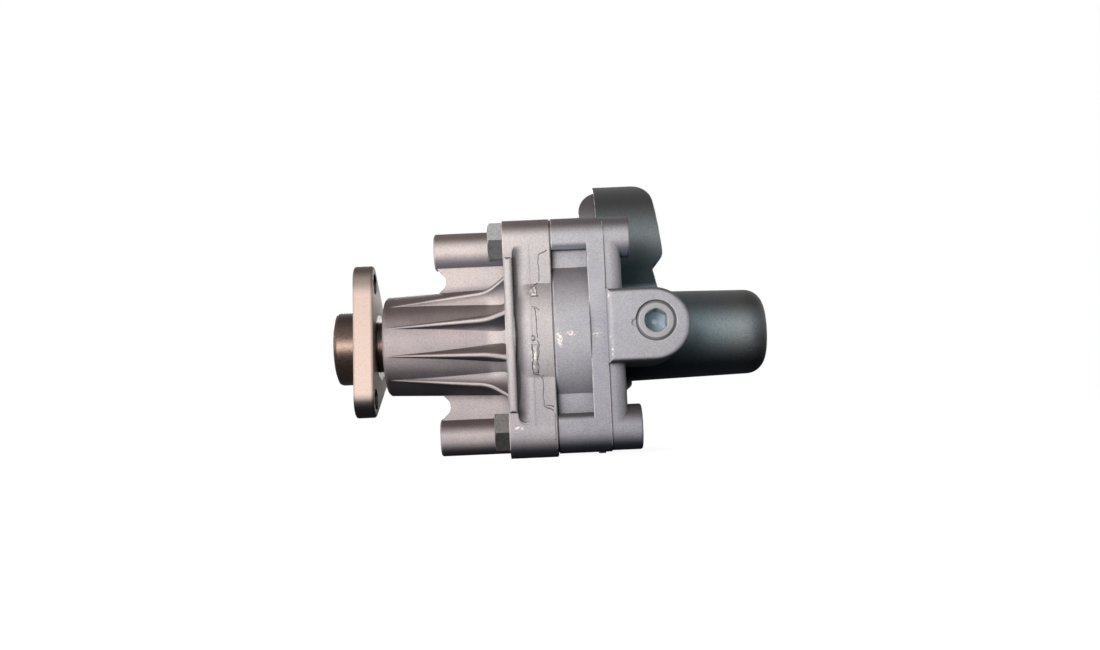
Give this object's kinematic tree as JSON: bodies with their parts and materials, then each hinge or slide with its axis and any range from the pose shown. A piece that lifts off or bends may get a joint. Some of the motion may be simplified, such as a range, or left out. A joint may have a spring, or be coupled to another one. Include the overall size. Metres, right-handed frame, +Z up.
{
  "type": "power steering pump",
  "caption": "Vane-type power steering pump with ribbed neck, lobed drive flange, square bolted body, suction block, plugged valve boss and closed rear barrel.",
  "frame": {"origin": "where the shaft axis meets the plane of the two front mounting faces", "axes": "+X along the drive shaft from the flange to the rear barrel, +Z up through the suction block, the plug boss faces -Y"},
  "size_m": [0.1647, 0.094, 0.108],
  "materials": {
    "cast_aluminium": "blasted casting",
    "turned_steel": "turned, dark",
    "flange_steel": "blasted",
    "bolt_steel": "zinc, dull",
    "hard_steel": "ground",
    "spring_steel": "satin",
    "bronze": "satin",
    "black_rubber": "matt"
  },
  "bodies": {
    "housing": {"front_housing": "cast_aluminium", "rear_housing": "cast_aluminium", "bearing_outer_ring": "hard_steel", "bearing_shields": "hard_steel", "bearing_circlip": "spring_steel", "shaft_seal": "black_rubber", "seal_garter_spring": "spring_steel", "front_bush": "bronze", "front_port_plate": "hard_steel", "pressure_plate": "hard_steel", "cam_ring": "hard_steel", "dowel_pins": "hard_steel", "disc_spring": "spring_steel", "valve_plug": "bolt_steel", "plug_o_ring": "black_rubber", "housing_o_ring": "black_rubber", "plate_o_ring": "black_rubber", "housing_bolts": "bolt_steel", "spool_spring": "spring_steel"},
    "shaft": {"drive_shaft": "turned_steel", "drive_flange": "flange_steel", "bearing_inner_ring": "hard_steel", "rotor": "hard_steel", "vanes": "hard_steel", "rotor_circlip": "spring_steel"},
    "ball_set": {"bearing_balls": "hard_steel", "bearing_cage": "hard_steel"},
    "spool": {"flow_spool": "hard_steel", "relief_seat": "hard_steel", "relief_spring": "spring_steel"},
    "relief_valve": {"relief_guide": "hard_steel", "relief_ball": "hard_steel"}
  },
  "joints": [
    {"name": "shaft_spin", "type": "hinge", "parent": "housing", "child": "shaft", "pos_m": [0, 0, 0], "axis": [1, 0, 0], "continuous": true},
    {"name": "ball_set_spin", "type": "hinge", "parent": "housing", "child": "ball_set", "pos_m": [0, 0, 0], "axis": [1, 0, 0], "continuous": true},
    {"name": "spool_slide", "type": "slide", "parent": "housing", "child": "spool", "axis": [1, 0, 0], "range_m": [0, 0.008], "stiffness_N_per_m": 1500, "springref_m": -0.004, "deforming": ["spool_spring"]},
    {"name": "relief_slide", "type": "slide", "parent": "spool", "child": "relief_valve", "axis": [-1, 0, 0], "range_m": [0, 0.0012], "stiffness_N_per_m": 2000, "springref_m": -0.002, "deforming": ["relief_spring"]}
  ],
  "couplings": [
    {"joint": "ball_set_spin", "follows": "shaft_spin", "ratio": 0.3987}
  ]
}
